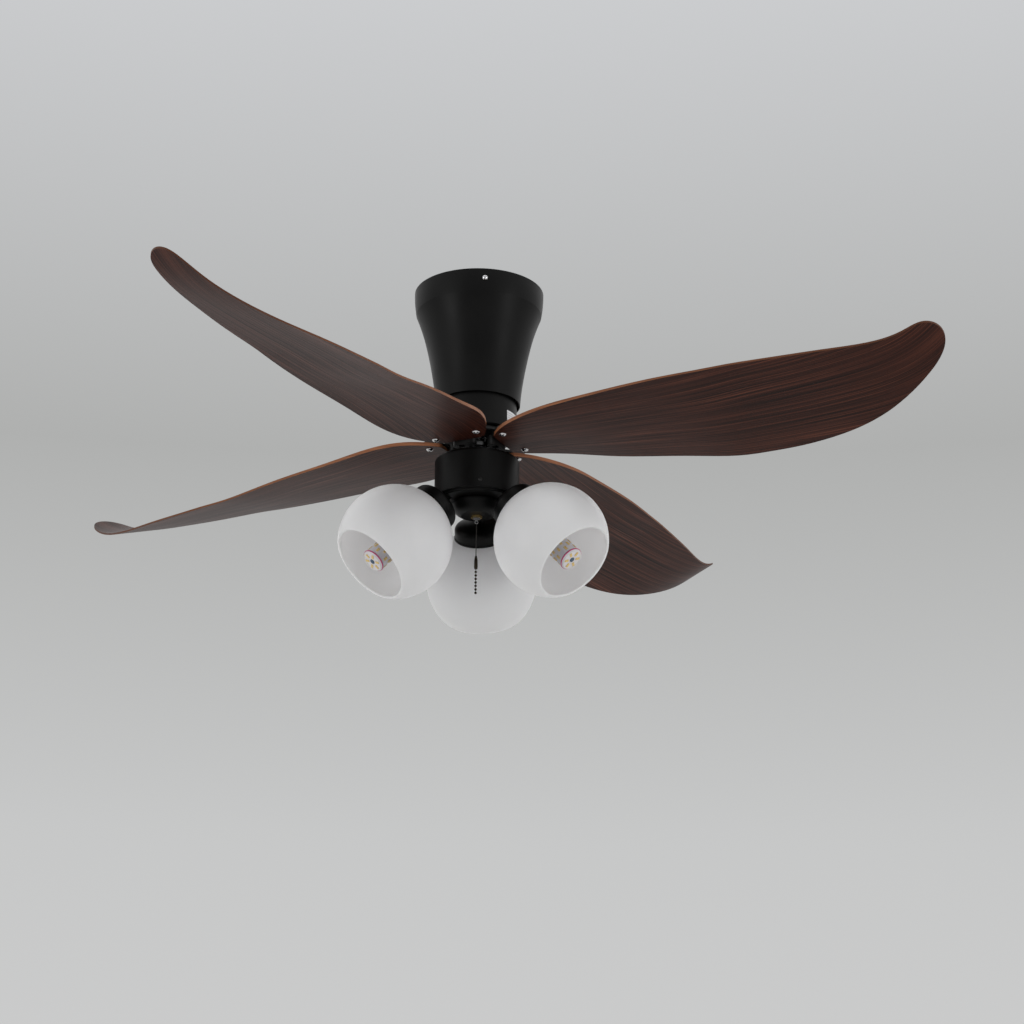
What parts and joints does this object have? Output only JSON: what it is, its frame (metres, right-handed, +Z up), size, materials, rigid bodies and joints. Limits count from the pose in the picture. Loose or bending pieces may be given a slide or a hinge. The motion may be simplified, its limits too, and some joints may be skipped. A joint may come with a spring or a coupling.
{
  "type": "ceiling fan with light",
  "caption": "Flush-mount ceiling fan with twisted leaf-shaped wood-look blades, black canopy, and a light kit with open opal globes and a pull chain",
  "frame": {"origin": "on the ceiling plane, on the fan axis, at the centre of the mounting plate", "axes": "+Z up into the ceiling, -Y towards the front of the fan, +X to the right seen from the front"},
  "size_m": [1.1166, 1.1166, 0.4456],
  "materials": {
    "black_metal": "satin",
    "walnut_blade": "satin",
    "opal_glass": "satin opal",
    "zinc_steel": "satin",
    "chrome_screw": "polished",
    "cast_alloy": "cast",
    "core_steel": "laminated",
    "copper": "enamelled wire",
    "brass": "satin",
    "bronze_bead": "dark",
    "white_ceramic": "glazed",
    "bulb_plastic": "matt",
    "led_chip": "gloss",
    "grey_plastic": "matt",
    "dark_cord": "braided"
  },
  "bodies": {
    "frame": {"arm_nuts": "zinc_steel", "bulb_1": "bulb_plastic", "bulb_2": "bulb_plastic", "bulb_3": "bulb_plastic", "bulb_base_1": "cast_alloy", "bulb_base_2": "cast_alloy", "bulb_base_3": "cast_alloy", "bushing_nut": "brass", "canopy": "black_metal", "canopy_screws": "chrome_screw", "capacitor": "grey_plastic", "ceiling_bracket": "zinc_steel", "fitter_bowl": "black_metal", "glass_shade_1": "opal_glass", "glass_shade_2": "opal_glass", "glass_shade_3": "opal_glass", "hanger_yoke": "zinc_steel", "housing_nut": "zinc_steel", "housing_screws": "chrome_screw", "lamp_arm_1": "black_metal", "lamp_arm_2": "black_metal", "lamp_arm_3": "black_metal", "lamp_cup_1": "black_metal", "lamp_cup_2": "black_metal", "lamp_cup_3": "black_metal", "lamp_socket_1": "white_ceramic", "lamp_socket_2": "white_ceramic", "lamp_socket_3": "white_ceramic", "led_chips": "led_chip", "light_fitter": "black_metal", "lower_bearing": "zinc_steel", "motor_shaft": "zinc_steel", "pull_switch": "brass", "shade_rings": "zinc_steel", "shaft_collar": "zinc_steel", "shaft_pin": "zinc_steel", "stator_core": "core_steel", "stator_windings": "copper", "switch_housing": "black_metal", "terminal_block": "grey_plastic", "upper_bearing": "zinc_steel", "yoke_screws": "zinc_steel"},
    "rotor": {"rotor_shell_upper": "cast_alloy", "rotor_shell_lower": "black_metal", "rotor_ring": "cast_alloy", "hub_flange": "black_metal", "blade_screws": "chrome_screw", "iron_screws": "zinc_steel", "blade_1": "walnut_blade", "blade_2": "walnut_blade", "blade_3": "walnut_blade", "blade_4": "walnut_blade", "blade_iron_1": "black_metal", "blade_iron_2": "black_metal", "blade_iron_3": "black_metal", "blade_iron_4": "black_metal"},
    "pull_stem": {"pull_link": "zinc_steel"},
    "pull_chain": {"pull_cord": "dark_cord", "chain_connector": "bronze_bead", "chain_beads": "bronze_bead"}
  },
  "joints": [
    {"name": "fan_spin", "type": "hinge", "parent": "frame", "child": "rotor", "pos_m": [0, 0, -0.2085], "axis": [0, 0, 1], "continuous": true},
    {"name": "chain_pull", "type": "slide", "parent": "frame", "child": "pull_stem", "axis": [0, 0, -1], "range_m": [0, 0.008], "stiffness_N_per_m": 600},
    {"name": "chain_swing", "type": "hinge", "parent": "pull_stem", "child": "pull_chain", "pos_m": [0, 0, -0.3282], "axis": [1, 0, 0], "range_deg": [-25, 25]}
  ]
}
